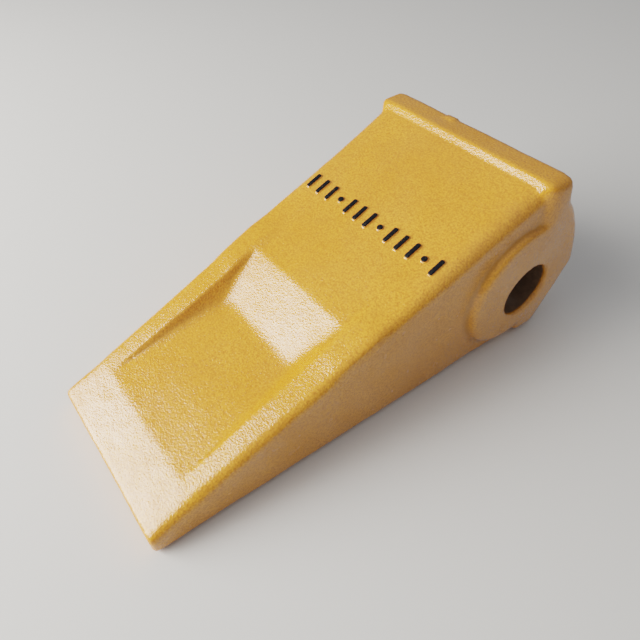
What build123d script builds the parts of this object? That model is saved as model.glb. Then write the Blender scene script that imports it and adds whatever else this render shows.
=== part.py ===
from build123d import *
import math
import os

# Excavator bucket tooth with its side pin and retaining ring.
# Frame: origin on the pin axis, midway between the ears. +X runs along the pin,
# the cutting edge points to -Y, the socket opens to +Y and +Z is up. Millimetres.

# --- driving dimensions of the casting -------------------------------------
TIP_Y = -273.0            # cutting edge
TIP_TOP_Z = -29.5         # top of the cutting edge
UNDERSIDE_Z = -44.5       # flat underside
DECK_REAR_Y = -5.0        # where the deck meets the collar
DECK_REAR_Z = 74.2
TIP_HALF_WIDTH = 62.8
DECK_HALF_WIDTH = 71.4    # half width of the body where the deck meets the collar
LIP_CROWN = 0.8           # how far the lip's rear end stands above the deck plane
LOWER_EDGE_RADIUS = 4.0
TIP_EDGE_RADIUS = 2.2

# upper edge radius at stations along the body, from the cutting edge to the collar
LIP_REAR_Y = -246.0
BODY_REAR_Y = 5.0
UPPER_EDGE_RADII = [
    (TIP_Y, 4.5),
    (LIP_REAR_Y, 7.0),
    (-175.0, 6.5),
    (-123.0, 6.5),
    (-88.0, 8.0),
    (-50.0, 10.5),
    (BODY_REAR_Y, 10.5),
]

# collar round the mouth of the socket
COLLAR_TOP_Z = 79.0
COLLAR_FRONT_TOP_Y = -0.5
COLLAR_REAR_Y = 16.5
COLLAR_HALF_WIDTH = 75.2
COLLAR_LOWER_Z = 50.0
COLLAR_PLAN_RADIUS = 13.0     # front corners, seen from above
COLLAR_END_RADIUS = 6.0       # top corners, seen from the tip
REAR_BLOCK_TOP_Z = 58.0       # block inside the collar that carries it and the ears
REAR_BLOCK_RADIUS = 12.0

# ears with the pin bore
EAR_FACE_X = 76.0
SOCKET_HALF_WIDTH = 52.0
BORE_RADIUS = 19.5
BOSS_CENTRE = (-8.0, 7.0)     # (y, z) of the round boss's middle
BOSS_RADIUS = 43.5
LOBE_TOP = (20.0, 62.0)       # (y, z) points of the ear's rearward lobe
LOBE_MIDDLE = (39.6, 31.5)
LOBE_CORNER = (48.6, 2.5)
EAR_TOP_Z = 71.0              # the ear's plate ends just under the collar's rounded end
HEEL_REAR = (22.5, -42.5)
HEEL_FRONT = (3.0, -42.5)
NECK_FRONT_Y = 6.5            # front of the strap that joins boss and collar
NECK_RADIUS = 9.0
LOBE_NECK_RADIUS = 12.0
HEEL_REAR_RADIUS = 5.0
HEEL_FRONT_RADIUS = 4.0
HEEL_NOTCH_RADIUS = 2.0
EAR_EDGE_RADIUS = 2.5

# socket for the adapter nose
SOCKET_MOUTH_TOP_Z = 61.0
SOCKET_MOUTH_BOTTOM_Z = -33.0
SOCKET_STRAIGHT_Y = -32.0     # the side walls are parallel behind this line
SOCKET_END_Y = -122.0
SOCKET_END_TOP_Z = 11.0
SOCKET_END_BOTTOM_Z = -24.0
SOCKET_END_HALF_WIDTH = 46.0
SOCKET_CORNER_RADIUS = 8.0

# shallow scoop in the deck behind the lip; its floor rises from the valley to the front
SCOOP_REAR_Y = -130.5
SCOOP_LOW_Y = -166.0
SCOOP_FRONT_Y = -238.0        # where the floor reaches the deck plane; the lip stands higher
SCOOP_DEPTH = 10.0
SCOOP_HALF_WIDTH = 46.5
SCOOP_WALL_SLOPE = 38.0       # degrees from the deck
SCOOP_FLOOR_RADIUS = 5.0

# row of raised foundry tally marks across the deck
TALLY_Y = -74.0
TALLY_PITCH = 9.6
TALLY_BAR = (3.0, 12.0, 1.2)  # across, along the slope, height
TALLY_DOT_RADIUS = 2.0
TALLY_PATTERN = "bbb.bbb.bbb.b"

# --- driving dimensions of the pin and ring ----------------------------------
PIN_RADIUS = 19.0
PIN_LENGTH = 143.0
PIN_CHAMFER = 3.0
DRAWN_BACK = 21.0             # how far the pin stands back from home, towards -X
RING_WIDTH = 8.0
RING_OUTER_RADIUS = 23.5
RING_RADIAL_GAP = 0.35        # ring to groove floor
RING_SIDE_GAP = 0.4           # ring to groove wall, each side
RING_HOME_GAP = 1.5           # ring to the +X ear with the pin home
RING_SLOT = 7.0               # width of the split
RING_EDGE_CHAMFER = 0.8
GROOVE_RADIUS = 17.4

# --- helpers for the solids ----------------------------------------------------
JOIN = 1.0                    # how far shapes run into each other to fuse or cut
CUT_MARGIN = 8.0              # how far a cutting shape stands out of the casting

DECK_SLOPE = math.atan2(DECK_REAR_Z - TIP_TOP_Z, DECK_REAR_Y - TIP_Y)
RING_HOME_X = SOCKET_HALF_WIDTH - RING_HOME_GAP - RING_WIDTH / 2


def between(start, end, share):
    """Value at a share of the way from start to end."""
    return start + share * (end - start)


def deck_z(y):
    """Height of the deck plane at a distance y from the pin axis."""
    return between(TIP_TOP_Z, DECK_REAR_Z, (y - TIP_Y) / (DECK_REAR_Y - TIP_Y))


def half_width(y):
    """Half width of the tapered body at y."""
    return between(TIP_HALF_WIDTH, DECK_HALF_WIDTH, (y - TIP_Y) / (DECK_REAR_Y - TIP_Y))


def deck_plane(y):
    """Plane on the deck at y: local X across, Y up the slope, Z out of the deck."""
    return Plane(
        origin=(0, y, deck_z(y)),
        x_dir=(1, 0, 0),
        z_dir=(0, -math.sin(DECK_SLOPE), math.cos(DECK_SLOPE)),
    )


def rounded_section(y, half_x, low_z, high_z, low_radius, high_radius):
    """Upright section at y: a rectangle with one radius below and one above."""
    section = Pos(0, (low_z + high_z) / 2) * Rectangle(2 * half_x, high_z - low_z)
    section = fillet(section.vertices().group_by(Axis.Y)[0], low_radius)
    section = fillet(section.vertices().group_by(Axis.Y)[-1], high_radius)
    return Plane.XZ.offset(-y) * section


def wedge_body():
    """Tapered wedge from the cutting edge back to the collar."""
    sections = []
    for y, radius in UPPER_EDGE_RADII:
        crown = LIP_CROWN if y == LIP_REAR_Y else 0.0
        top = min(deck_z(y) + crown, COLLAR_TOP_Z - JOIN)
        sections.append(
            rounded_section(y, half_width(y), UNDERSIDE_Z, top, LOWER_EDGE_RADIUS, radius)
        )
    body = loft(sections, ruled=True)
    tip = body.faces().sort_by(Axis.Y)[0]
    return fillet(tip.edges(), TIP_EDGE_RADIUS)


def rear_block():
    """The body's last stretch, a plain block that carries the ears and the collar."""
    section = rounded_section(
        BODY_REAR_Y, DECK_HALF_WIDTH, UNDERSIDE_Z, REAR_BLOCK_TOP_Z,
        LOWER_EDGE_RADIUS, REAR_BLOCK_RADIUS,
    )
    return extrude(section, COLLAR_REAR_Y - BODY_REAR_Y, dir=(0, 1, 0))


def collar_bar():
    """Bar across the rear of the deck: sloping front face, rounded ends and corners."""
    foot_y = DECK_REAR_Y - JOIN
    outline = Polyline(
        (foot_y, COLLAR_LOWER_Z),
        (foot_y, deck_z(foot_y) - JOIN),
        (COLLAR_FRONT_TOP_Y, COLLAR_TOP_Z),
        (COLLAR_REAR_Y, COLLAR_TOP_Z),
        (COLLAR_REAR_Y, COLLAR_LOWER_Z),
        close=True,
    )
    bar = extrude(Plane.YZ * make_face(outline), COLLAR_HALF_WIDTH, both=True)
    ends = bar.edges().filter_by(Axis.Y).group_by(Axis.Z)[-1]
    bar = fillet(ends, COLLAR_END_RADIUS)
    depth = COLLAR_REAR_Y - foot_y
    plan = Pos(0, foot_y + depth / 2) * Rectangle(2 * COLLAR_HALF_WIDTH, depth)
    plan = fillet(plan.vertices().group_by(Axis.Y)[0], COLLAR_PLAN_RADIUS)
    return bar & extrude(plan, COLLAR_TOP_Z + JOIN)


def ear_outline():
    """Side view (y, z) of an ear: round boss, rearward lobe, heel and neck."""
    boss = Pos(*BOSS_CENTRE) * Circle(BOSS_RADIUS)
    middle_y, middle_z = BOSS_CENTRE
    lobe = make_face(
        [
            Line((HEEL_FRONT[0], middle_z), (NECK_FRONT_Y, middle_z)),
            Line((NECK_FRONT_Y, middle_z), (NECK_FRONT_Y, EAR_TOP_Z)),
            Line((NECK_FRONT_Y, EAR_TOP_Z), (COLLAR_REAR_Y, EAR_TOP_Z)),
            Line((COLLAR_REAR_Y, EAR_TOP_Z), LOBE_TOP),
            ThreePointArc(LOBE_TOP, LOBE_MIDDLE, LOBE_CORNER),
            Line(LOBE_CORNER, HEEL_REAR),
            Line(HEEL_REAR, HEEL_FRONT),
            Line(HEEL_FRONT, (HEEL_FRONT[0], middle_z)),
        ]
    )
    outline = boss + lobe

    def boss_rise(y):
        """Height of the boss's rim above its middle at y."""
        return math.sqrt(BOSS_RADIUS**2 - (y - middle_y) ** 2)

    for point, radius in (
        ((NECK_FRONT_Y, middle_z + boss_rise(NECK_FRONT_Y)), NECK_RADIUS),
        ((HEEL_FRONT[0], middle_z - boss_rise(HEEL_FRONT[0])), HEEL_NOTCH_RADIUS),
        (LOBE_TOP, LOBE_NECK_RADIUS),
        (HEEL_REAR, HEEL_REAR_RADIUS),
        (HEEL_FRONT, HEEL_FRONT_RADIUS),
    ):
        corner = outline.vertices().sort_by_distance(Vector(*point, 0))[0]
        outline = fillet(corner, radius)
    return outline


def ear(side):
    """One ear, from the socket's side wall out to the bored face."""
    plate = extrude(Plane.YZ * ear_outline(), EAR_FACE_X - SOCKET_HALF_WIDTH)
    plate = Pos(SOCKET_HALF_WIDTH, 0, 0) * plate
    outer = plate.faces().sort_by(Axis.X)[-1]
    plate = fillet(outer.edges(), EAR_EDGE_RADIUS)
    return plate if side > 0 else plate.mirror(Plane.YZ)


def socket():
    """Tapered space for the adapter nose, open to the rear between the ears."""
    sections = []
    for y, half_x in (
        (SOCKET_END_Y, SOCKET_END_HALF_WIDTH),
        (SOCKET_STRAIGHT_Y, SOCKET_HALF_WIDTH),
        (LOBE_CORNER[0] + CUT_MARGIN, SOCKET_HALF_WIDTH),
    ):
        share = (y - SOCKET_END_Y) / (COLLAR_REAR_Y - SOCKET_END_Y)
        low = between(SOCKET_END_BOTTOM_Z, SOCKET_MOUTH_BOTTOM_Z, share)
        high = between(SOCKET_END_TOP_Z, SOCKET_MOUTH_TOP_Z, share)
        sections.append(
            rounded_section(y, half_x, low, high, SOCKET_CORNER_RADIUS, SOCKET_CORNER_RADIUS)
        )
    return loft(sections, ruled=True)


def scoop():
    """Space of the deck's shallow scoop: ramp down, floor rising to the lip, sloped sides."""
    deck = deck_plane(SCOOP_REAR_Y)

    def run(y):
        """Distance down the slope from the scoop's rear edge."""
        return (SCOOP_REAR_Y - y) / math.cos(DECK_SLOPE)

    low_run, front_run = run(SCOOP_LOW_Y), run(SCOOP_FRONT_Y)
    rear_over = CUT_MARGIN * low_run / SCOOP_DEPTH
    front_over = CUT_MARGIN * (front_run - low_run) / SCOOP_DEPTH
    profile = Polyline(
        (-rear_over, CUT_MARGIN),
        (low_run, -SCOOP_DEPTH),
        (front_run + front_over, CUT_MARGIN),
        close=True,
    )
    lengthwise = Plane(origin=deck.origin, x_dir=-deck.y_dir, z_dir=(-1, 0, 0))
    along = extrude(lengthwise * make_face(profile), 2 * SCOOP_HALF_WIDTH, both=True)
    lean = 1.0 / math.tan(math.radians(SCOOP_WALL_SLOPE))
    low_half = SCOOP_HALF_WIDTH - SCOOP_DEPTH * lean
    high_half = SCOOP_HALF_WIDTH + CUT_MARGIN * lean
    sides = Polyline(
        (-low_half, -SCOOP_DEPTH),
        (low_half, -SCOOP_DEPTH),
        (high_half, CUT_MARGIN),
        (-high_half, CUT_MARGIN),
        close=True,
    )
    crosswise = Plane(origin=deck.origin, x_dir=(1, 0, 0), z_dir=-deck.y_dir)
    across = extrude(crosswise * make_face(sides), front_run + front_over, both=True)
    space = along & across
    lowest = deck.from_local_coords(Vector(0, -low_run, -SCOOP_DEPTH))
    valley = space.edges().filter_by(Axis.X).sort_by_distance(lowest)[0]
    return fillet(valley, SCOOP_FLOOR_RADIUS)


def tally_marks():
    """Row of plain raised bars and dots, cast proud of the deck."""
    across, along, height = TALLY_BAR
    deck = deck_plane(TALLY_Y)
    middle = (len(TALLY_PATTERN) - 1) / 2
    marks = []
    for place, kind in enumerate(TALLY_PATTERN):
        shape = Rectangle(across, along) if kind == "b" else Circle(TALLY_DOT_RADIUS)
        mark = extrude(shape, height + JOIN)
        marks.append(deck * Pos((place - middle) * TALLY_PITCH, 0, -JOIN) * mark)
    return marks


def tooth_point():
    """The one-piece steel casting."""
    casting = wedge_body() + rear_block() + collar_bar() + ear(1) + ear(-1)
    casting -= socket()
    casting -= scoop()
    casting -= Cylinder(BORE_RADIUS, 4 * EAR_FACE_X, rotation=(0, 90, 0))
    return casting + tally_marks()


def along_pin(shape, x):
    """Lay a shape made along Z with its middle on the pin axis at x."""
    return Pos(x, 0, 0) * Rot(0, 90, 0) * shape


def retaining_pin():
    """Straight steel pin with chamfered ends and the ring's groove."""
    pin = Cylinder(PIN_RADIUS, PIN_LENGTH)
    pin = chamfer(pin.edges().filter_by(GeomType.CIRCLE), PIN_CHAMFER)
    groove_width = RING_WIDTH + 2 * RING_SIDE_GAP
    band = Cylinder(PIN_RADIUS + JOIN, groove_width) - Cylinder(GROOVE_RADIUS, groove_width)
    pin -= Pos(0, 0, RING_HOME_X) * band
    return along_pin(pin, -DRAWN_BACK)


def retainer_ring():
    """Split spring ring that sits in the pin's groove, inside the socket."""
    inner = GROOVE_RADIUS + RING_RADIAL_GAP
    ring = Cylinder(RING_OUTER_RADIUS, RING_WIDTH) - Cylinder(inner, RING_WIDTH)
    ring = chamfer(ring.edges().filter_by(GeomType.CIRCLE), RING_EDGE_CHAMFER)
    ring -= Pos(-RING_OUTER_RADIUS, 0, 0) * Box(2 * RING_OUTER_RADIUS, RING_SLOT, 2 * RING_WIDTH)
    return along_pin(ring, RING_HOME_X - DRAWN_BACK)


os.makedirs("parts", exist_ok=True)
for name, make in (
    ("tooth_point", tooth_point),
    ("retaining_pin", retaining_pin),
    ("retainer_ring", retainer_ring),
):
    solid = make()
    solid.label = name
    export_step(solid, f"parts/{name}.step")
    print(name, round(solid.volume), "mm3", len(solid.solids()), "solid", solid.is_valid)
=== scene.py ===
import math

import bmesh
import bpy
import numpy as np
from mathutils import Matrix, Vector, noise


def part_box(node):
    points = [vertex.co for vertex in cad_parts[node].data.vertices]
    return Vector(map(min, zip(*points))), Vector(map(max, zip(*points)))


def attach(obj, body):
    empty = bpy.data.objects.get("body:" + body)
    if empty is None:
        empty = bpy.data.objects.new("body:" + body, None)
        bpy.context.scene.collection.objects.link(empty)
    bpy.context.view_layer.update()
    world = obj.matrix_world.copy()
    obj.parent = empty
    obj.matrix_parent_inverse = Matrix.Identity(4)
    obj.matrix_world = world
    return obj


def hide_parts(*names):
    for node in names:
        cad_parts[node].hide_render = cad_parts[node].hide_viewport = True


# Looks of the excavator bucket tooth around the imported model. Blender works in metres. The
# shaping below is written in millimetres in the same frame: origin on the pin axis, the cutting
# edge towards -Y, +X along the pin and +Z up. Functions take and give points in millimetres.
# A span is (low, high, fade) for window(), and a rise is (start, end) for smoothstep().

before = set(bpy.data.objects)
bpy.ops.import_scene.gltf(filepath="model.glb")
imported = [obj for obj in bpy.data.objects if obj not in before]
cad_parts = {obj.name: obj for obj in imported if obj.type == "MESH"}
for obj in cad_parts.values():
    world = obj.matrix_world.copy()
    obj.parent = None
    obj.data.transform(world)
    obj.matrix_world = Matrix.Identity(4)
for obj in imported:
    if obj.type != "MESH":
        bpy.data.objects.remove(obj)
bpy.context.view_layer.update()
MM = 0.001
NOISE_SEED = 1
noise.seed_set(NOISE_SEED)    # otherwise the marks' edges would differ from run to run

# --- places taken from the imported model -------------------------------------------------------
CAST_LOW, CAST_HIGH = [np.array(corner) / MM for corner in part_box("tooth_point")]
PIN_LOW, PIN_HIGH = [np.array(corner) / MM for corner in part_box("retaining_pin")]
RING_LOW, RING_HIGH = [np.array(corner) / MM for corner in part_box("retainer_ring")]
UNDERSIDE_Z = CAST_LOW[2]
TIP_Y = CAST_LOW[1]
EAR_FACE_X = CAST_HIGH[0]

# --- the deck, its scoop and its marks --------------------------------------------------------
TIP_TOP_Z = UNDERSIDE_Z + 15.0
DECK_REAR = (-5.0, 74.2)      # (y, z) where the deck meets the collar
DECK_SLOPE = math.atan2(DECK_REAR[1] - TIP_TOP_Z, DECK_REAR[0] - TIP_Y)
SCOOP_REAR_Y = -130.5
SCOOP_LOW_Y = -166.0
SCOOP_FRONT_Y = -244.0
SCOOP_HALF_WIDTH = 46.5
SCOOP_DEPTH = 10.0
SCOOP_WALL_RUN = 12.8         # how far the side walls reach inwards at the lowest line
LEAST_WALL_RUN = 0.1          # stands in for no run at all, at the scoop's ends
COVE_POWER = 2.5
COVE_SINK = (1.0, 0.3)        # how strongly they are hollowed, on the -X and the +X side
MARK_Y = -74.0
MARK_PITCH = 9.6
MARK_BAR = (3.0, 12.0)        # across, and along the slope
MARK_BAR_CORNER = 1.1
MARK_DOT_RADIUS = 2.0
MARK_PATTERN = "bbb.bbb.bbb.b"
MARK_LEAST_CORNER = 0.3
MARK_WANDER_SIZE = 1.7
MARK_WANDER_PLACE = Vector((0.0, 0.0, 9.0))
MARK_WANDER_UP = 0.3          # height wanders by this share of what the outline does
# each layer of a mark is how far it stands out of the mark's plan, and its height on the deck
MARK_BASE_LAYERS = [(1.0, -0.6), (0.75, 0.0), (0.30, 0.22), (0.05, 0.60), (-0.10, 0.95), (-0.40, 1.12)]
MARK_FACE_LAYERS = [(-0.45, 0.55), (0.00, 0.62), (0.02, 0.80), (-0.06, 1.08), (-0.35, 1.22)]
MARK_BASE_RAGGED = 0.12
MARK_FACE_RAGGED = 0.16
MARK_ROW_MARGIN = 2.0
MARK_HEIGHTS = (0.02, 3.0)    # what stands this far out of the deck in the row is a mark

# --- the ears and the socket ------------------------------------------------------------------
BORE_RADIUS = 19.5
BOSS_FRONT_Y = -51.5
COLLAR_REAR_Y = 16.5
SOCKET_HALF_WIDTH = 52.0
SOCKET_END_Y = -122.0
SOCKET_LOW_Z = (-24.0, -33.0)     # at the socket's end and at the collar's rear face
SOCKET_HIGH_Z = (11.0, 61.0)

# --- the casting's skin: even smoothing, then more of it in the soft zones --------------------
VOXEL = 1.5
EVEN_STRENGTH, EVEN_ROUNDS = 0.5, 3
SOFT_STRENGTH, SOFT_ROUNDS = 0.5, 30
TURN_ROUNDS = 2
COLLAR_FRONT_KEPT = 0.4       # taken off the even smoothing's strength there
COLLAR_FRONT_Y = (-8.0, 2.0, 2.0)
COLLAR_FRONT_RISE_Z = (68.0, 71.0)
COLLAR_FRONT_FALL_X = (58.0, 66.0)
WALL_HEIGHTS = (-SCOOP_DEPTH - 3.0, -0.1, 0.3)     # from the deck plane, as the next span is
SCOOP_HEIGHTS = (-SCOOP_DEPTH - 3.0, 6.0, 2.0)
COVE_Y = (SCOOP_FRONT_Y + 6.0, SCOOP_REAR_Y - 3.0, 5.0)
COVE_FROM_FOOT = (-7.0, 3.0, 3.0)     # outwards from the wall's foot
COVE_FALL_X = (SCOOP_HALF_WIDTH - 4.0, SCOOP_HALF_WIDTH - 1.0)
SCOOP_FLOOR_X = (0.0, SCOOP_HALF_WIDTH - 3.0, 3.0)
FRONT_CREASE_SOFT, FRONT_CREASE_Y = 0.06, (SCOOP_FRONT_Y - 4.0, SCOOP_FRONT_Y + 4.0, 3.0)
VALLEY_SOFT, VALLEY_Y = 1.0, (SCOOP_LOW_Y - 6.0, SCOOP_LOW_Y + 6.0, 6.0)
REAR_CREASE_SOFT, REAR_CREASE_Y = 0.1, (SCOOP_REAR_Y - 2.0, SCOOP_REAR_Y + 2.0, 4.0)
BOSS_SOFT = 0.2
BOSS_X = (68.0, 90.0, 3.0)
BOSS_Y = (BOSS_FRONT_Y - 6.0, 12.0, 6.0)
BOSS_Z = (-46.0, 66.0, 4.0)
BOSS_RISE_RADIUS = (BORE_RADIUS + 4.0, BORE_RADIUS + 9.0)
COLLAR_END_SOFT = 0.22
COLLAR_END_RISE_X = (66.0, 70.0)
COLLAR_END_RISE_Y = (-6.0, -2.0)
COLLAR_END_RISE_Z = (56.0, 62.0)

# --- what stands out of the plain form --------------------------------------------------------
SHOULDER_HEIGHT = 1.3
SHOULDER_X = (50.0, 66.0, 8.0)
SHOULDER_Y = (-142.0, -126.0, 20.0)
SHOULDER_ABOVE_DECK = (-1.5, 4.0, 2.0)
STUB_HEIGHT = 0.9
STUB_X = (-24.0, -17.5, 2.5)
STUB_Y = (12.0, 18.0, 3.0)
STUB_Z = (76.0, 82.0, 2.0)
LIP_RISE = (-6.0, 8.0)        # forward of the scoop's front crease
# each layer of the skin: feature size, octaves, place in the noise, height, more height on the lip
SKIN_LAYERS = (
    (34.0, 2, 1, 0.22, 0.0),
    (15.0, 1, 4, 0.09, 0.0),
    (7.0, 2, 2, 0.07, 0.05),
    (3.4, 1, 3, 0.045, 0.055),
)
NOISE_STRIDE = Vector((17.3, 5.1, 9.7))    # from one place in the noise to the next

# --- where the spray hardly reached, and the bores' painted shade: rises outside a wall, or inwards from a face ---
WALL_RISE = (0.6, 1.6)
MOUTH_RISE = (-8.0, 30.0)
SOCKET_END_RISE = (-2.0, -1.0)
BORE_WALL_RISE = (0.5, 1.2)
BORE_MOUTH_RISE = (-5.0, -0.5)

# --- the pin and its ring ---------------------------------------------------------------------
PIN_CHAMFER = 3.0
PIN_EASE = 0.9
CENTRE_DEPTH = 2.2
CENTRE_MOUTH = 2.8
CENTRE_TIP = 0.6
CENTRE_EASE = 0.3
GROOVE_RADIUS = 17.4
GROOVE_SLACK = 0.4
GROOVE_LIP_EASE = 0.5
GROOVE_FOOT_EASE = 0.4
RING_INNER = 17.75
RING_HALF_SLOT = 3.5
RING_EASE = 0.8
RING_STEPS = 120
# each station at an end of the ring: how far along from its face, and what its section loses
RING_END_STATIONS = ((0.0, 0.7), (0.0, 0.25), (0.35, 0.0))

# --- finishes ---------------------------------------------------------------------------------
PAINT_TONES = ((0.680, 0.283, 0.026), (0.765, 0.328, 0.034))
PAINT_SPECKLE = (0.515, 0.188, 0.015)
# painted shade: concave corners and creases are darkened to this where shade falls
PAINTED_SHADE_IN_CORNERS = (0.40, 0.165, 0.016)
# painted shade: sharp convex edges are darkened to this, like the shaded side of a rounded edge
PAINTED_SHADE_ON_EDGES = (0.56, 0.20, 0.014)
# bare cast steel where spray hardly reached; inside the bores this dark brown is also painted shade
BARE_STEEL_AND_SHADE_TONES = ((0.110, 0.066, 0.043), (0.230, 0.145, 0.090))
BARE_ROUGHNESS = 0.7
ENAMEL_BLACK = (0.006, 0.007, 0.010)
ENAMEL_WORN = (0.12, 0.085, 0.03)
PIN_TONES = ((0.44, 0.43, 0.42), (0.22, 0.19, 0.165))
TURNING_SCALE = (2200.0, 30.0, 30.0)    # noise turns per metre, along the pin and across it
RING_TONES = ((0.045, 0.045, 0.05), (0.20, 0.19, 0.18))

# --- the studio, in metres --------------------------------------------------------------------
FLOOR_SIZE = 8.0
FLOOR_GAP = 0.0004
FLOOR_COLOUR = (0.68, 0.68, 0.68, 1.0)
FLOOR_ROUGHNESS = 0.9
SKY_COLOUR = (1.0, 1.0, 1.0, 1.0)
SKY_STRENGTH = (0.14, 0.46)       # at the horizon and overhead
LIGHT_COLOUR = (1.0, 0.965, 0.90)
LIT_MIDDLE = (0.0, -0.15, 0.0)    # what the soft lights are aimed at
# each light: name, the way to it from the middle, distance, (width, height), radiance
SOFTBOXES = (
    ("key", (-0.43, -0.80, 0.42), 1.4, (1.4, 1.25), 4.8),
    ("key_core", (-0.43, -0.82, 0.38), 1.35, (1.2, 1.15), 5.2),
)
CAMERA_PLACE = (0.20961, -0.26807, 0.25655)
CAMERA_RIGHT = (0.60532, 0.79579, -0.01721)
CAMERA_UP = (-0.56908, 0.44779, 0.68966)
LENS_MM = 31.28
SENSOR_MM = 36.0


def smoothstep(values, start, end):
    """0 before start, 1 after end, and a smooth rise between them."""
    share = np.clip((values - start) / (end - start), 0.0, 1.0)
    return share * share * (3.0 - 2.0 * share)


def window(values, low, high, fade):
    """1 between low and high, falling to 0 over fade outside them."""
    return smoothstep(values, low - fade, low) * (1.0 - smoothstep(values, high, high + fade))


def deck_z(y):
    """Height of the deck plane at y."""
    return TIP_TOP_Z + (y - TIP_Y) * math.tan(DECK_SLOPE)


def above_deck(points):
    """How far each point stands out of the deck plane, square to it."""
    return (points[:, 2] - deck_z(points[:, 1])) * math.cos(DECK_SLOPE)


def lowered(points, depth):
    """The points moved down by depth, square to the deck."""
    moved = points.copy()
    moved[:, 1] += depth * math.sin(DECK_SLOPE)
    moved[:, 2] -= depth * math.cos(DECK_SLOPE)
    return moved


def linked(name, mesh):
    """A new object with this mesh, in the scene."""
    piece = bpy.data.objects.new(name, mesh)
    bpy.context.scene.collection.objects.link(piece)
    return piece


def piece_from(shell, name, mesh_name):
    """A new smooth-shaded object made from the shell, which is used up."""
    mesh = bpy.data.meshes.new(mesh_name)
    shell.to_mesh(mesh)
    shell.free()
    mesh.shade_smooth()
    return linked(name, mesh)


def baked(piece):
    """A new mesh with the object's modifiers applied."""
    graph = bpy.context.evaluated_depsgraph_get()
    return bpy.data.meshes.new_from_object(piece.evaluated_get(graph))


def read_points(mesh):
    """The mesh's vertices in millimetres."""
    points = np.empty(len(mesh.vertices) * 3)
    mesh.vertices.foreach_get("co", points)
    return points.reshape(-1, 3) / MM


def write_points(mesh, points):
    """Put the vertices, given in millimetres, back in the mesh."""
    mesh.vertices.foreach_set("co", (points * MM).ravel())
    mesh.update()


def read_edges(mesh):
    """The mesh's edges as pairs of vertex numbers."""
    pairs = np.empty(len(mesh.edges) * 2, dtype=np.int64)
    mesh.edges.foreach_get("vertices", pairs)
    return pairs.reshape(-1, 2)


def vertex_normals(mesh):
    """The mesh's vertex normals."""
    normals = np.empty(len(mesh.vertices) * 3)
    mesh.vertices.foreach_get("normal", normals)
    return normals.reshape(-1, 3)


def neighbour_mean(values, edges):
    """Mean of each vertex's neighbours, for an array with one row per vertex."""
    degree = np.bincount(edges.ravel(), minlength=len(values)).astype(float)
    total = np.empty_like(values)
    for column in range(values.shape[1]):
        part = values[:, column]
        total[:, column] = np.bincount(edges[:, 0], part[edges[:, 1]], len(values))
        total[:, column] += np.bincount(edges[:, 1], part[edges[:, 0]], len(values))
    return total / degree[:, None]


def relax(points, edges, weight, rounds):
    """Smooth the points where weight is above 0."""
    for _ in range(rounds):
        points = points + weight[:, None] * (neighbour_mean(points, edges) - points)
    return points


def noise_field(points, size, octaves, place):
    """Fractal noise of about -1 to 1 at each point, with features about size mm across."""
    shift = NOISE_STRIDE * place
    return np.array([noise.fractal(Vector(p) / size + shift, 1.0, 2.0, octaves) for p in points])


# --- the casting ------------------------------------------------------------------------------
def remeshed_casting():
    """The CAD casting as an even quad mesh that lies on the CAD surface."""
    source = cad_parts["tooth_point"]
    shell = bmesh.new()
    shell.from_mesh(source.data)
    bmesh.ops.remove_doubles(shell, verts=shell.verts, dist=0.01 * MM)
    mesh = bpy.data.meshes.new("casting_shell")
    shell.to_mesh(mesh)
    shell.free()
    piece = linked("casting_shell", mesh)
    even = piece.modifiers.new("even", "REMESH")
    even.mode = "VOXEL"
    even.voxel_size = VOXEL * MM
    even.use_smooth_shade = True
    onto = piece.modifiers.new("onto", "SHRINKWRAP")
    onto.target = source
    onto.wrap_method = "NEAREST_SURFACEPOINT"
    result = baked(piece)
    bpy.data.objects.remove(piece)
    return result


def without_marks(points):
    """Lay the raised marks' vertices down on the deck: the marks are pieces of their own."""
    height = above_deck(points)
    along = np.abs(points[:, 1] - MARK_Y) < MARK_BAR[1]
    across = np.abs(points[:, 0]) < MARK_PITCH * len(MARK_PATTERN) / 2 + MARK_ROW_MARGIN
    raised = along & across & (height > MARK_HEIGHTS[0]) & (height < MARK_HEIGHTS[1])
    return lowered(points, np.where(raised, height, 0.0))


def collar_front(points):
    """1 on the collar's sloping front, which keeps its crisp edges."""
    x, y, z = np.abs(points[:, 0]), points[:, 1], points[:, 2]
    front = window(y, *COLLAR_FRONT_Y) * smoothstep(z, *COLLAR_FRONT_RISE_Z)
    return front * (1.0 - smoothstep(x, *COLLAR_FRONT_FALL_X))


def sunk(y):
    """Depth of the scoop's floor at y, as a share of its greatest depth."""
    return np.interp(y, (SCOOP_FRONT_Y, SCOOP_LOW_Y, SCOOP_REAR_Y), (0.0, 1.0, 0.0))


def wall_foot(y):
    """Half width of the scoop's floor at y, where the side walls end."""
    return SCOOP_HALF_WIDTH - SCOOP_WALL_RUN * sunk(y)


def hollow_walls(points):
    """Curve the scoop's plain side walls into coves: steep at the rim, level at the foot."""
    x, y = np.abs(points[:, 0]), points[:, 1]
    foot = wall_foot(y)
    up_wall = np.clip((x - foot) / np.maximum(SCOOP_HALF_WIDTH - foot, LEAST_WALL_RUN), 0.0, 1.0)
    inside = window(above_deck(points), *WALL_HEIGHTS)
    share = np.where(points[:, 0] < 0.0, *COVE_SINK)
    return lowered(points, share * SCOOP_DEPTH * sunk(y) * (up_wall - up_wall**COVE_POWER) * inside)


def soft_scoop(points):
    """How strongly each point of the scoop is rounded off: its coves, its valley and its creases."""
    x, y = np.abs(points[:, 0]), points[:, 1]
    near = window(above_deck(points), *SCOOP_HEIGHTS)
    coves = window(x - wall_foot(y), *COVE_FROM_FOOT) * window(y, *COVE_Y)
    coves *= 1.0 - smoothstep(x, *COVE_FALL_X)
    front = FRONT_CREASE_SOFT * window(y, *FRONT_CREASE_Y)
    valley = VALLEY_SOFT * window(y, *VALLEY_Y)
    rear = REAR_CREASE_SOFT * window(y, *REAR_CREASE_Y)
    creases = np.maximum.reduce([front, valley, rear]) * window(x, *SCOOP_FLOOR_X)
    return np.maximum(coves, creases) * near


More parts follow.
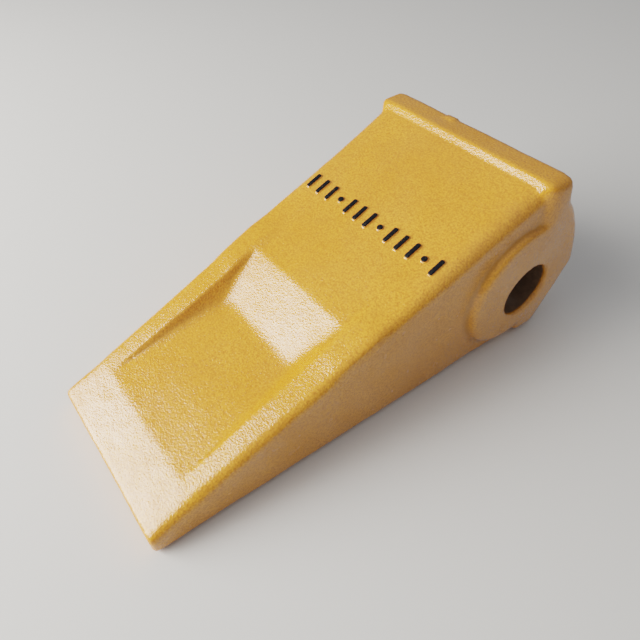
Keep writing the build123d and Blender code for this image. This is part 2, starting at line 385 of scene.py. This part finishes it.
def soft_ears(points):
    """How strongly each point of the ears is rounded off: the boss's step and the collar's end."""
    x, y, z = np.abs(points[:, 0]), points[:, 1], points[:, 2]
    boss = BOSS_SOFT * window(x, *BOSS_X) * window(y, *BOSS_Y) * window(z, *BOSS_Z)
    boss *= smoothstep(np.hypot(y, z), *BOSS_RISE_RADIUS)
    collar_end = COLLAR_END_SOFT * smoothstep(x, *COLLAR_END_RISE_X)
    collar_end *= smoothstep(y, *COLLAR_END_RISE_Y) * smoothstep(z, *COLLAR_END_RISE_Z)
    return np.maximum(boss, collar_end)


def relief(points, normals):
    """Shapes that stand out of the plain form: shoulders by the scoop and the gate stub."""
    x, y, z = points[:, 0], points[:, 1], points[:, 2]
    up = np.clip(normals[:, 2], 0.0, 1.0)
    on_deck = window(above_deck(points), *SHOULDER_ABOVE_DECK) * up
    shoulder = window(y, *SHOULDER_Y) * window(np.abs(x), *SHOULDER_X) * on_deck
    stub = window(x, *STUB_X) * window(y, *STUB_Y) * window(z, *STUB_Z)
    return SHOULDER_HEIGHT * shoulder + STUB_HEIGHT * stub


def cast_skin(points):
    """Height of the sand-cast skin over the plain form: waves, dents, orange peel and grain."""
    lip = smoothstep(SCOOP_FRONT_Y - points[:, 1], *LIP_RISE)
    skin = np.zeros(len(points))
    for size, octaves, place, height, more_on_lip in SKIN_LAYERS:
        skin += (height + more_on_lip * lip) * noise_field(points, size, octaves, place)
    return skin


def surface_turn(points, edges, normals):
    """How sharply the skin turns at each vertex: above 0 on edges, below 0 in corners."""
    inward = neighbour_mean(points, edges) - points
    turn = -np.einsum("ij,ij->i", inward, normals)[:, None]
    for _ in range(TURN_ROUNDS):
        turn = 0.5 * turn + 0.5 * neighbour_mean(turn, edges)
    return turn[:, 0]


def in_socket(points):
    """1 on the socket's walls, fading out towards its mouth."""
    x, y, z = np.abs(points[:, 0]), points[:, 1], points[:, 2]
    share = (y - SOCKET_END_Y) / (COLLAR_REAR_Y - SOCKET_END_Y)
    low = SOCKET_LOW_Z[0] + share * (SOCKET_LOW_Z[1] - SOCKET_LOW_Z[0])
    high = SOCKET_HIGH_Z[0] + share * (SOCKET_HIGH_Z[1] - SOCKET_HIGH_Z[0])
    across = 1.0 - smoothstep(x - SOCKET_HALF_WIDTH, *WALL_RISE)
    upright = (1.0 - smoothstep(low - z, *WALL_RISE)) * (1.0 - smoothstep(z - high, *WALL_RISE))
    deep = smoothstep(COLLAR_REAR_Y - y, *MOUTH_RISE)
    return across * upright * deep * smoothstep(y - SOCKET_END_Y, *SOCKET_END_RISE)


def in_bore(points):
    """1 on the walls of the ears' bores, fading out towards their outer mouths; the dark colour there is
    partly painted shade.
    """
    x, y, z = np.abs(points[:, 0]), points[:, 1], points[:, 2]
    bore = 1.0 - smoothstep(np.hypot(y, z) - BORE_RADIUS, *BORE_WALL_RISE)
    return bore * (1.0 - smoothstep(x - EAR_FACE_X, *BORE_MOUTH_RISE))


def store(mesh, name, values):
    """Keep one number per vertex in the mesh, for the material to read."""
    layer = mesh.attributes.new(name, "FLOAT", "POINT")
    layer.data.foreach_set("value", values.astype(np.float32))


def casting():
    """The tooth's casting with its soft corners and its cast skin."""
    mesh = remeshed_casting()
    edges = read_edges(mesh)
    points = without_marks(read_points(mesh))
    points = relax(points, edges, EVEN_STRENGTH - COLLAR_FRONT_KEPT * collar_front(points), EVEN_ROUNDS)
    points = hollow_walls(points)
    soft = np.maximum(soft_scoop(points), soft_ears(points))
    points = relax(points, edges, SOFT_STRENGTH * soft, SOFT_ROUNDS)
    write_points(mesh, points)
    normals = vertex_normals(mesh)
    points = points + normals * relief(points, normals)[:, None]
    store(mesh, "turn", surface_turn(points, edges, normals))
    # bare where spray hardly reached; in the bores this darkening is also painted shade
    store(mesh, "unreached_and_shaded", np.maximum(in_socket(points), in_bore(points)))
    points = points + normals * cast_skin(points)[:, None]
    write_points(mesh, points)
    mesh.name = "casting"
    mesh.shade_smooth()
    return linked("casting", mesh)


# --- the marks, the pin and the ring ----------------------------------------------------------
def rounded_outline(half_x, half_y, radius, steps=6):
    """Points round a rounded rectangle, anticlockwise."""
    points = []
    for corner, (side_x, side_y) in enumerate(((1, 1), (-1, 1), (-1, -1), (1, -1))):
        for step in range(steps + 1):
            angle = math.pi / 2 * (corner + step / steps)
            x = side_x * (half_x - radius) + radius * math.cos(angle)
            y = side_y * (half_y - radius) + radius * math.sin(angle)
            points.append((x, y))
    return points


def stack(shell, rings):
    """Join rings of points into a skin, with a fan over each end."""
    loops = [[shell.verts.new(Vector(point) * MM) for point in ring] for ring in rings]
    for lower, upper in zip(loops, loops[1:]):
        for i in range(len(lower)):
            j = (i + 1) % len(lower)
            shell.faces.new((lower[i], lower[j], upper[j], upper[i]))
    for loop in (loops[0][::-1], loops[-1]):
        centre = shell.verts.new(sum((vertex.co for vertex in loop), Vector()) / len(loop))
        for i in range(len(loop)):
            j = (i + 1) % len(loop)
            shell.faces.new((loop[i], loop[j], centre))


def mark_rings(kind, layers):
    """Rings of one mark: each layer is (how far out of the mark's plan, height)."""
    half_x, half_y, radius = MARK_BAR[0] / 2, MARK_BAR[1] / 2, MARK_BAR_CORNER
    if kind != "b":
        half_x = half_y = radius = MARK_DOT_RADIUS
    rings = []
    for out, height in layers:
        outline = rounded_outline(half_x + out, half_y + out, max(radius + out, MARK_LEAST_CORNER))
        rings.append([(x, y, height) for x, y in outline])
    return rings


def marks(name, layers, ragged):
    """The row of raised marks on the deck, with edges that wander by up to ragged millimetres."""
    shell = bmesh.new()
    middle = (len(MARK_PATTERN) - 1) / 2
    for place, kind in enumerate(MARK_PATTERN):
        shift = Vector(((place - middle) * MARK_PITCH, 0.0, 0.0))
        stack(shell, [[Vector(p) + shift for p in ring] for ring in mark_rings(kind, layers)])
    for vertex in shell.verts:
        wander = noise.noise_vector(vertex.co / MM / MARK_WANDER_SIZE + MARK_WANDER_PLACE) * ragged
        vertex.co += Vector((wander.x, wander.y, MARK_WANDER_UP * wander.z)) * MM
    slope = Matrix.Rotation(DECK_SLOPE, 4, "X")
    shell.transform(Matrix.Translation(Vector((0.0, MARK_Y, deck_z(MARK_Y))) * MM) @ slope)
    return piece_from(shell, name, name)


def rounded_profile(corners, steps=5):
    """(x, radius) points with an arc at each corner; corners are (x, radius, rounding)."""
    points = []
    for i, (x, radius, rounding) in enumerate(corners):
        here = Vector((x, radius))
        if rounding == 0.0:
            points.append((x, radius))
            continue
        before = Vector(corners[i - 1][:2])
        after = Vector(corners[i + 1][:2])
        start = here + (before - here).normalized() * rounding
        end = here + (after - here).normalized() * rounding
        for step in range(steps + 1):
            t = step / steps
            points.append(tuple((1 - t) ** 2 * start + 2 * t * (1 - t) * here + t * t * end))
    return points


def turned(name, profile, turns=160):
    """A solid turned round the pin axis from (x, radius) points."""
    shell = bmesh.new()
    angles = [2 * math.pi * turn / turns for turn in range(turns)]
    rings = []
    for x, radius in profile:
        rings.append([(x, radius * math.cos(angle), radius * math.sin(angle)) for angle in angles])
    stack(shell, rings)
    return piece_from(shell, name, name)


def pin():
    """The turned pin: chamfered ends with centre holes, and the ring's groove."""
    low, high = PIN_LOW[0], PIN_HIGH[0]
    radius = PIN_HIGH[2]
    groove_low, groove_high = RING_LOW[0] - GROOVE_SLACK, RING_HIGH[0] + GROOVE_SLACK
    corners = [
        (low + CENTRE_DEPTH, CENTRE_TIP, 0.0),
        (low, CENTRE_MOUTH, CENTRE_EASE),
        (low, radius - PIN_CHAMFER, PIN_EASE),
        (low + PIN_CHAMFER, radius, PIN_EASE),
        (groove_low, radius, GROOVE_LIP_EASE),
        (groove_low, GROOVE_RADIUS, GROOVE_FOOT_EASE),
        (groove_high, GROOVE_RADIUS, GROOVE_FOOT_EASE),
        (groove_high, radius, GROOVE_LIP_EASE),
        (high - PIN_CHAMFER, radius, PIN_EASE),
        (high, radius - PIN_CHAMFER, PIN_EASE),
        (high, CENTRE_MOUTH, CENTRE_EASE),
        (high - CENTRE_DEPTH, CENTRE_TIP, 0.0),
    ]
    return turned("pin", rounded_profile(corners))


def ring_stations(radius):
    """(angle, what the section loses) from one side of the ring's slot round to the other."""
    half_gap = math.asin(RING_HALF_SLOT / radius)
    ends = [(half_gap + along / radius, loss) for along, loss in RING_END_STATIONS]
    first = ends[-1][0]
    sweep = 2 * math.pi - 2 * first
    middle = [(first + sweep * step / RING_STEPS, 0.0) for step in range(1, RING_STEPS)]
    return ends + middle + [(2 * math.pi - angle, loss) for angle, loss in reversed(ends)]


def ring():
    """The split spring ring, swept round the pin."""
    outer = RING_HIGH[1]
    width, depth = RING_HIGH[0] - RING_LOW[0], outer - RING_INNER
    middle_x, middle_radius = RING_LOW[0] + width / 2, (outer + RING_INNER) / 2
    outline = rounded_outline(width / 2, depth / 2, RING_EASE)
    shell = bmesh.new()
    rings = []
    for angle, loss in ring_stations(middle_radius):
        loop = []
        for x, r in outline:
            across = middle_x + x * (1 - loss / width)
            radius = middle_radius + r * (1 - loss / depth)
            loop.append((across, radius * math.sin(angle), radius * math.cos(angle)))
        rings.append(loop)
    stack(shell, rings)
    bmesh.ops.recalc_face_normals(shell, faces=shell.faces)
    return piece_from(shell, "split_ring", "ring")


# --- material nodes ---------------------------------------------------------------------------
def nodes_of(name):
    """A new material with only a Principled shader, and its node tree."""
    material = bpy.data.materials.new(name)
    material.use_nodes = True
    tree = material.node_tree
    shader = tree.nodes["Principled BSDF"]
    return material, tree, shader


def object_place(tree):
    """The piece's own coordinates."""
    return tree.nodes.new("ShaderNodeTexCoord").outputs["Object"]


def read_attribute(tree, name):
    """One of the numbers kept in the mesh."""
    node = tree.nodes.new("ShaderNodeAttribute")
    node.attribute_name = name
    return node.outputs["Fac"]


def feed(tree, value, socket):
    """Give a socket a link, a number or a plain colour."""
    if isinstance(value, bpy.types.NodeSocket):
        tree.links.new(value, socket)
    elif isinstance(value, tuple):
        socket.default_value = (*value, 1.0)
    else:
        socket.default_value = value


def add_noise(tree, place, scale, detail=2.0, roughness=0.5):
    """A noise texture over a place; scale is in turns per metre."""
    node = tree.nodes.new("ShaderNodeTexNoise")
    node.inputs["Scale"].default_value = scale
    node.inputs["Detail"].default_value = detail
    node.inputs["Roughness"].default_value = roughness
    tree.links.new(place, node.inputs["Vector"])
    return node.outputs["Fac"]


def remap(tree, value, cut, give):
    """A value's stretch cut, moved to the stretch give."""
    node = tree.nodes.new("ShaderNodeMapRange")
    node.inputs["From Min"].default_value, node.inputs["From Max"].default_value = cut
    node.inputs["To Min"].default_value, node.inputs["To Max"].default_value = give
    tree.links.new(value, node.inputs["Value"])
    return node.outputs["Result"]


def mottle(tree, place, scale, detail, cut, give, roughness=0.5):
    """A noise texture whose stretch cut is moved to the stretch give."""
    return remap(tree, add_noise(tree, place, scale, detail, roughness), cut, give)


def add_values(tree, first, second):
    """The sum of two values."""
    node = tree.nodes.new("ShaderNodeMath")
    node.operation = "ADD"
    tree.links.new(first, node.inputs[0])
    tree.links.new(second, node.inputs[1])
    return node.outputs[0]


def mix_value(tree, share, first, second):
    """Two values mixed."""
    node = tree.nodes.new("ShaderNodeMix")
    for value, socket in ((share, node.inputs[0]), (first, node.inputs[2]), (second, node.inputs[3])):
        feed(tree, value, socket)
    return node.outputs[0]


def mix_colour(tree, share, first, second):
    """Two colours mixed."""
    node = tree.nodes.new("ShaderNodeMix")
    node.data_type = "RGBA"
    for value, socket in ((share, node.inputs[0]), (first, node.inputs[6]), (second, node.inputs[7])):
        feed(tree, value, socket)
    return node.outputs[2]


def bump(tree, height, strength, distance, under=None):
    """A bump over another normal, distance in metres."""
    node = tree.nodes.new("ShaderNodeBump")
    node.inputs["Strength"].default_value = strength
    node.inputs["Distance"].default_value = distance
    tree.links.new(height, node.inputs["Height"])
    if under is not None:
        tree.links.new(under, node.inputs["Normal"])
    return node.outputs["Normal"]


# --- materials --------------------------------------------------------------------------------
def paint_tone(tree, place):
    """Golden yellow in two close tones with fine speckle; darker in concave corners and along sharp
    edges as painted shade.
    """
    wide = mottle(tree, place, scale=18.0, detail=3.0, cut=(0.35, 0.65), give=(0.0, 1.0))
    tone = mix_colour(tree, wide, *PAINT_TONES)
    speckle = mottle(
        tree, place, scale=760.0, detail=2.0, roughness=0.6, cut=(0.38, 0.67), give=(0.0, 0.95)
    )
    tone = mix_colour(tree, speckle, tone, PAINT_SPECKLE)
    turn = read_attribute(tree, "turn")
    # painted shade: concave corners and creases darkened where shade falls
    corner = remap(tree, turn, cut=(-0.012, -0.08), give=(0.0, 0.6))
    tone = mix_colour(tree, corner, tone, PAINTED_SHADE_IN_CORNERS)
    # painted shade: sharp convex edges darkened like the shaded side of a rounded edge
    edge_shade = remap(tree, turn, cut=(0.06, 0.30), give=(0.0, 0.5))
    return mix_colour(tree, edge_shade, tone, PAINTED_SHADE_ON_EDGES)


def bare_and_shaded_share(tree, place):
    """1 where the casting is bare, or in the bores painted shade: where spray never reached, with a
    patchy border.
    """
    patches = mottle(
        tree, place, scale=110.0, detail=4.0, roughness=0.6, cut=(0.3, 0.7), give=(-0.12, 0.12)
    )
    hidden = add_values(tree, read_attribute(tree, "unreached_and_shaded"), patches)
    return remap(tree, hidden, cut=(0.35, 0.65), give=(0.0, 1.0))


def cast_paint():
    """Golden-yellow gloss enamel over a sand-cast skin, bare and scaly where spray never reached, which
    in the bores is also painted shade.
    """
    material, tree, shader = nodes_of("cast_paint")
    place = object_place(tree)
    bare_and_shaded = bare_and_shaded_share(tree, place)
    scaly_and_shaded = mix_colour(tree, add_noise(tree, place, scale=260.0, detail=4.0), *BARE_STEEL_AND_SHADE_TONES)
    tone = mix_colour(tree, bare_and_shaded, paint_tone(tree, place), scaly_and_shaded)
    tree.links.new(tone, shader.inputs["Base Color"])
    gloss = mottle(tree, place, scale=90.0, detail=2.0, cut=(0.3, 0.7), give=(0.20, 0.28))
    tree.links.new(mix_value(tree, bare_and_shaded, gloss, BARE_ROUGHNESS), shader.inputs["Roughness"])
    film = mottle(tree, place, scale=26.0, detail=3.0, roughness=0.6, cut=(0.36, 0.64), give=(0.6, 1.0))
    tree.links.new(film, shader.inputs["Coat Weight"])
    shader.inputs["Specular IOR Level"].default_value = 0.3
    shader.inputs["Coat Roughness"].default_value = 0.09
    shader.inputs["Coat IOR"].default_value = 1.68
    fine = bump(tree, add_noise(tree, place, scale=1700.0), strength=0.5, distance=0.00015)
    peel = bump(tree, add_noise(tree, place, scale=820.0), strength=0.65, distance=0.0004, under=fine)
    tree.links.new(peel, shader.inputs["Normal"])
    tree.links.new(peel, shader.inputs["Coat Normal"])
    return material


def mark_enamel():
    """Black enamel rolled over the raised marks, worn through in specks."""
    material, tree, shader = nodes_of("mark_enamel")
    place = object_place(tree)
    worn = mottle(tree, place, scale=700.0, detail=4.0, roughness=0.6, cut=(0.60, 0.74), give=(0.0, 0.8))
    tree.links.new(mix_colour(tree, worn, ENAMEL_BLACK, ENAMEL_WORN), shader.inputs["Base Color"])
    shader.inputs["Specular IOR Level"].default_value = 0.25
    rough = mottle(tree, place, scale=500.0, detail=2.0, cut=(0.3, 0.7), give=(0.22, 0.42))
    tree.links.new(rough, shader.inputs["Roughness"])
    ripple = bump(tree, add_noise(tree, place, scale=1300.0, detail=3.0), strength=0.4, distance=0.0002)
    tree.links.new(ripple, shader.inputs["Normal"])
    return material


def turning_rings(tree, place):
    """Fine rings round the pin, left by its turning."""
    squeeze = tree.nodes.new("ShaderNodeVectorMath")
    squeeze.operation = "MULTIPLY"
    squeeze.inputs[1].default_value = TURNING_SCALE
    tree.links.new(place, squeeze.inputs[0])
    return add_noise(tree, squeeze.outputs[0], scale=1.0)


def turned_steel():
    """Hardened pin steel with turning rings and a thin stain of oil."""
    material, tree, shader = nodes_of("turned_steel")
    place = object_place(tree)
    stain = add_noise(tree, place, scale=60.0, detail=5.0, roughness=0.6)
    tone = mix_colour(tree, remap(tree, stain, cut=(0.35, 0.7), give=(0.0, 1.0)), *PIN_TONES)
    tree.links.new(tone, shader.inputs["Base Color"])
    shader.inputs["Metallic"].default_value = 1.0
    rough = remap(tree, stain, cut=(0.3, 0.7), give=(0.26, 0.46))
    tree.links.new(rough, shader.inputs["Roughness"])
    grooves = bump(tree, turning_rings(tree, place), strength=0.25, distance=0.0001)
    tree.links.new(grooves, shader.inputs["Normal"])
    return material


def blacked_steel():
    """Spring steel with a dark oil-blacked finish, rubbed brighter in places."""
    material, tree, shader = nodes_of("blacked_steel")
    place = object_place(tree)
    rubbed = mottle(
        tree, place, scale=140.0, detail=5.0, roughness=0.6, cut=(0.55, 0.72), give=(0.0, 0.7)
    )
    tree.links.new(mix_colour(tree, rubbed, *RING_TONES), shader.inputs["Base Color"])
    shader.inputs["Metallic"].default_value = 0.9
    rough = mottle(tree, place, scale=260.0, detail=3.0, cut=(0.3, 0.7), give=(0.30, 0.48))
    tree.links.new(rough, shader.inputs["Roughness"])
    pitted = bump(tree, add_noise(tree, place, scale=800.0, detail=3.0), strength=0.2, distance=0.0001)
    tree.links.new(pitted, shader.inputs["Normal"])
    return material


# --- stage ------------------------------------------------------------------------------------
def floor():
    """The pale floor that the tooth rests on."""
    height = UNDERSIDE_Z * MM - FLOOR_GAP
    bpy.ops.mesh.primitive_plane_add(size=FLOOR_SIZE, location=(0, 0, height))
    plane = bpy.context.object
    plane.name = "floor"
    material, tree, shader = nodes_of("floor_paper")
    shader.inputs["Base Color"].default_value = FLOOR_COLOUR
    shader.inputs["Roughness"].default_value = FLOOR_ROUGHNESS
    plane.data.materials.append(material)


def surround():
    """A white surround, dim at the horizon and brighter overhead."""
    world = bpy.data.worlds.new("surround")
    world.use_nodes = True
    tree = world.node_tree
    background = tree.nodes["Background"]
    background.inputs["Color"].default_value = SKY_COLOUR
    sky = tree.nodes.new("ShaderNodeSeparateXYZ")
    tree.links.new(tree.nodes.new("ShaderNodeTexCoord").outputs["Generated"], sky.inputs[0])
    strength = remap(tree, sky.outputs["Z"], cut=(0.0, 1.0), give=SKY_STRENGTH)
    tree.links.new(strength, background.inputs["Strength"])
    bpy.context.scene.world = world


def softbox(name, toward, distance, size, radiance):
    """A rectangular soft light aimed at the tooth's middle; its width is square to Y."""
    light = bpy.data.lights.new(name, "AREA")
    light.shape = "RECTANGLE"
    light.size, light.size_y = size
    light.color = LIGHT_COLOUR
    light.energy = radiance * math.pi * size[0] * size[1]
    lamp = bpy.data.objects.new(name, light)
    back = Vector(toward).normalized()
    across = Vector((0, 1, 0)).cross(back).normalized()
    turn = Matrix((across, back.cross(across), back)).transposed().to_4x4()
    lamp.matrix_world = Matrix.Translation(Vector(LIT_MIDDLE) + distance * back) @ turn
    bpy.context.scene.collection.objects.link(lamp)


def camera():
    """Camera at the reference viewing angle."""
    lens = bpy.data.cameras.new("camera")
    lens.lens = LENS_MM
    lens.sensor_width = SENSOR_MM
    eye = bpy.data.objects.new("camera", lens)
    right, up = Vector(CAMERA_RIGHT), Vector(CAMERA_UP)
    turn = Matrix((right, up, right.cross(up))).transposed().to_4x4()
    eye.matrix_world = Matrix.Translation(CAMERA_PLACE) @ turn
    bpy.context.scene.collection.objects.link(eye)
    bpy.context.scene.camera = eye


camera()
floor()
surround()
for box in SOFTBOXES:
    softbox(*box)
bpy.context.scene.view_settings.view_transform = "Filmic"
bpy.context.scene.view_settings.look = "Medium High Contrast"

paint = cast_paint()
for piece, material, body, replaced, slot in (
    (casting(), paint, "tooth", "tooth_point", "casting"),
    (marks("mark_bases", MARK_BASE_LAYERS, MARK_BASE_RAGGED), paint, "tooth", None, "casting"),
    (marks("mark_faces", MARK_FACE_LAYERS, MARK_FACE_RAGGED), mark_enamel(), "tooth", None, "casting"),
    (pin(), turned_steel(), "pin", "retaining_pin", "pin_steel"),
    (ring(), blacked_steel(), "retainer", "retainer_ring", "ring_steel"),
):
    piece.data.materials.append(material)
    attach(piece, body)
    if replaced:
        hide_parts(replaced)
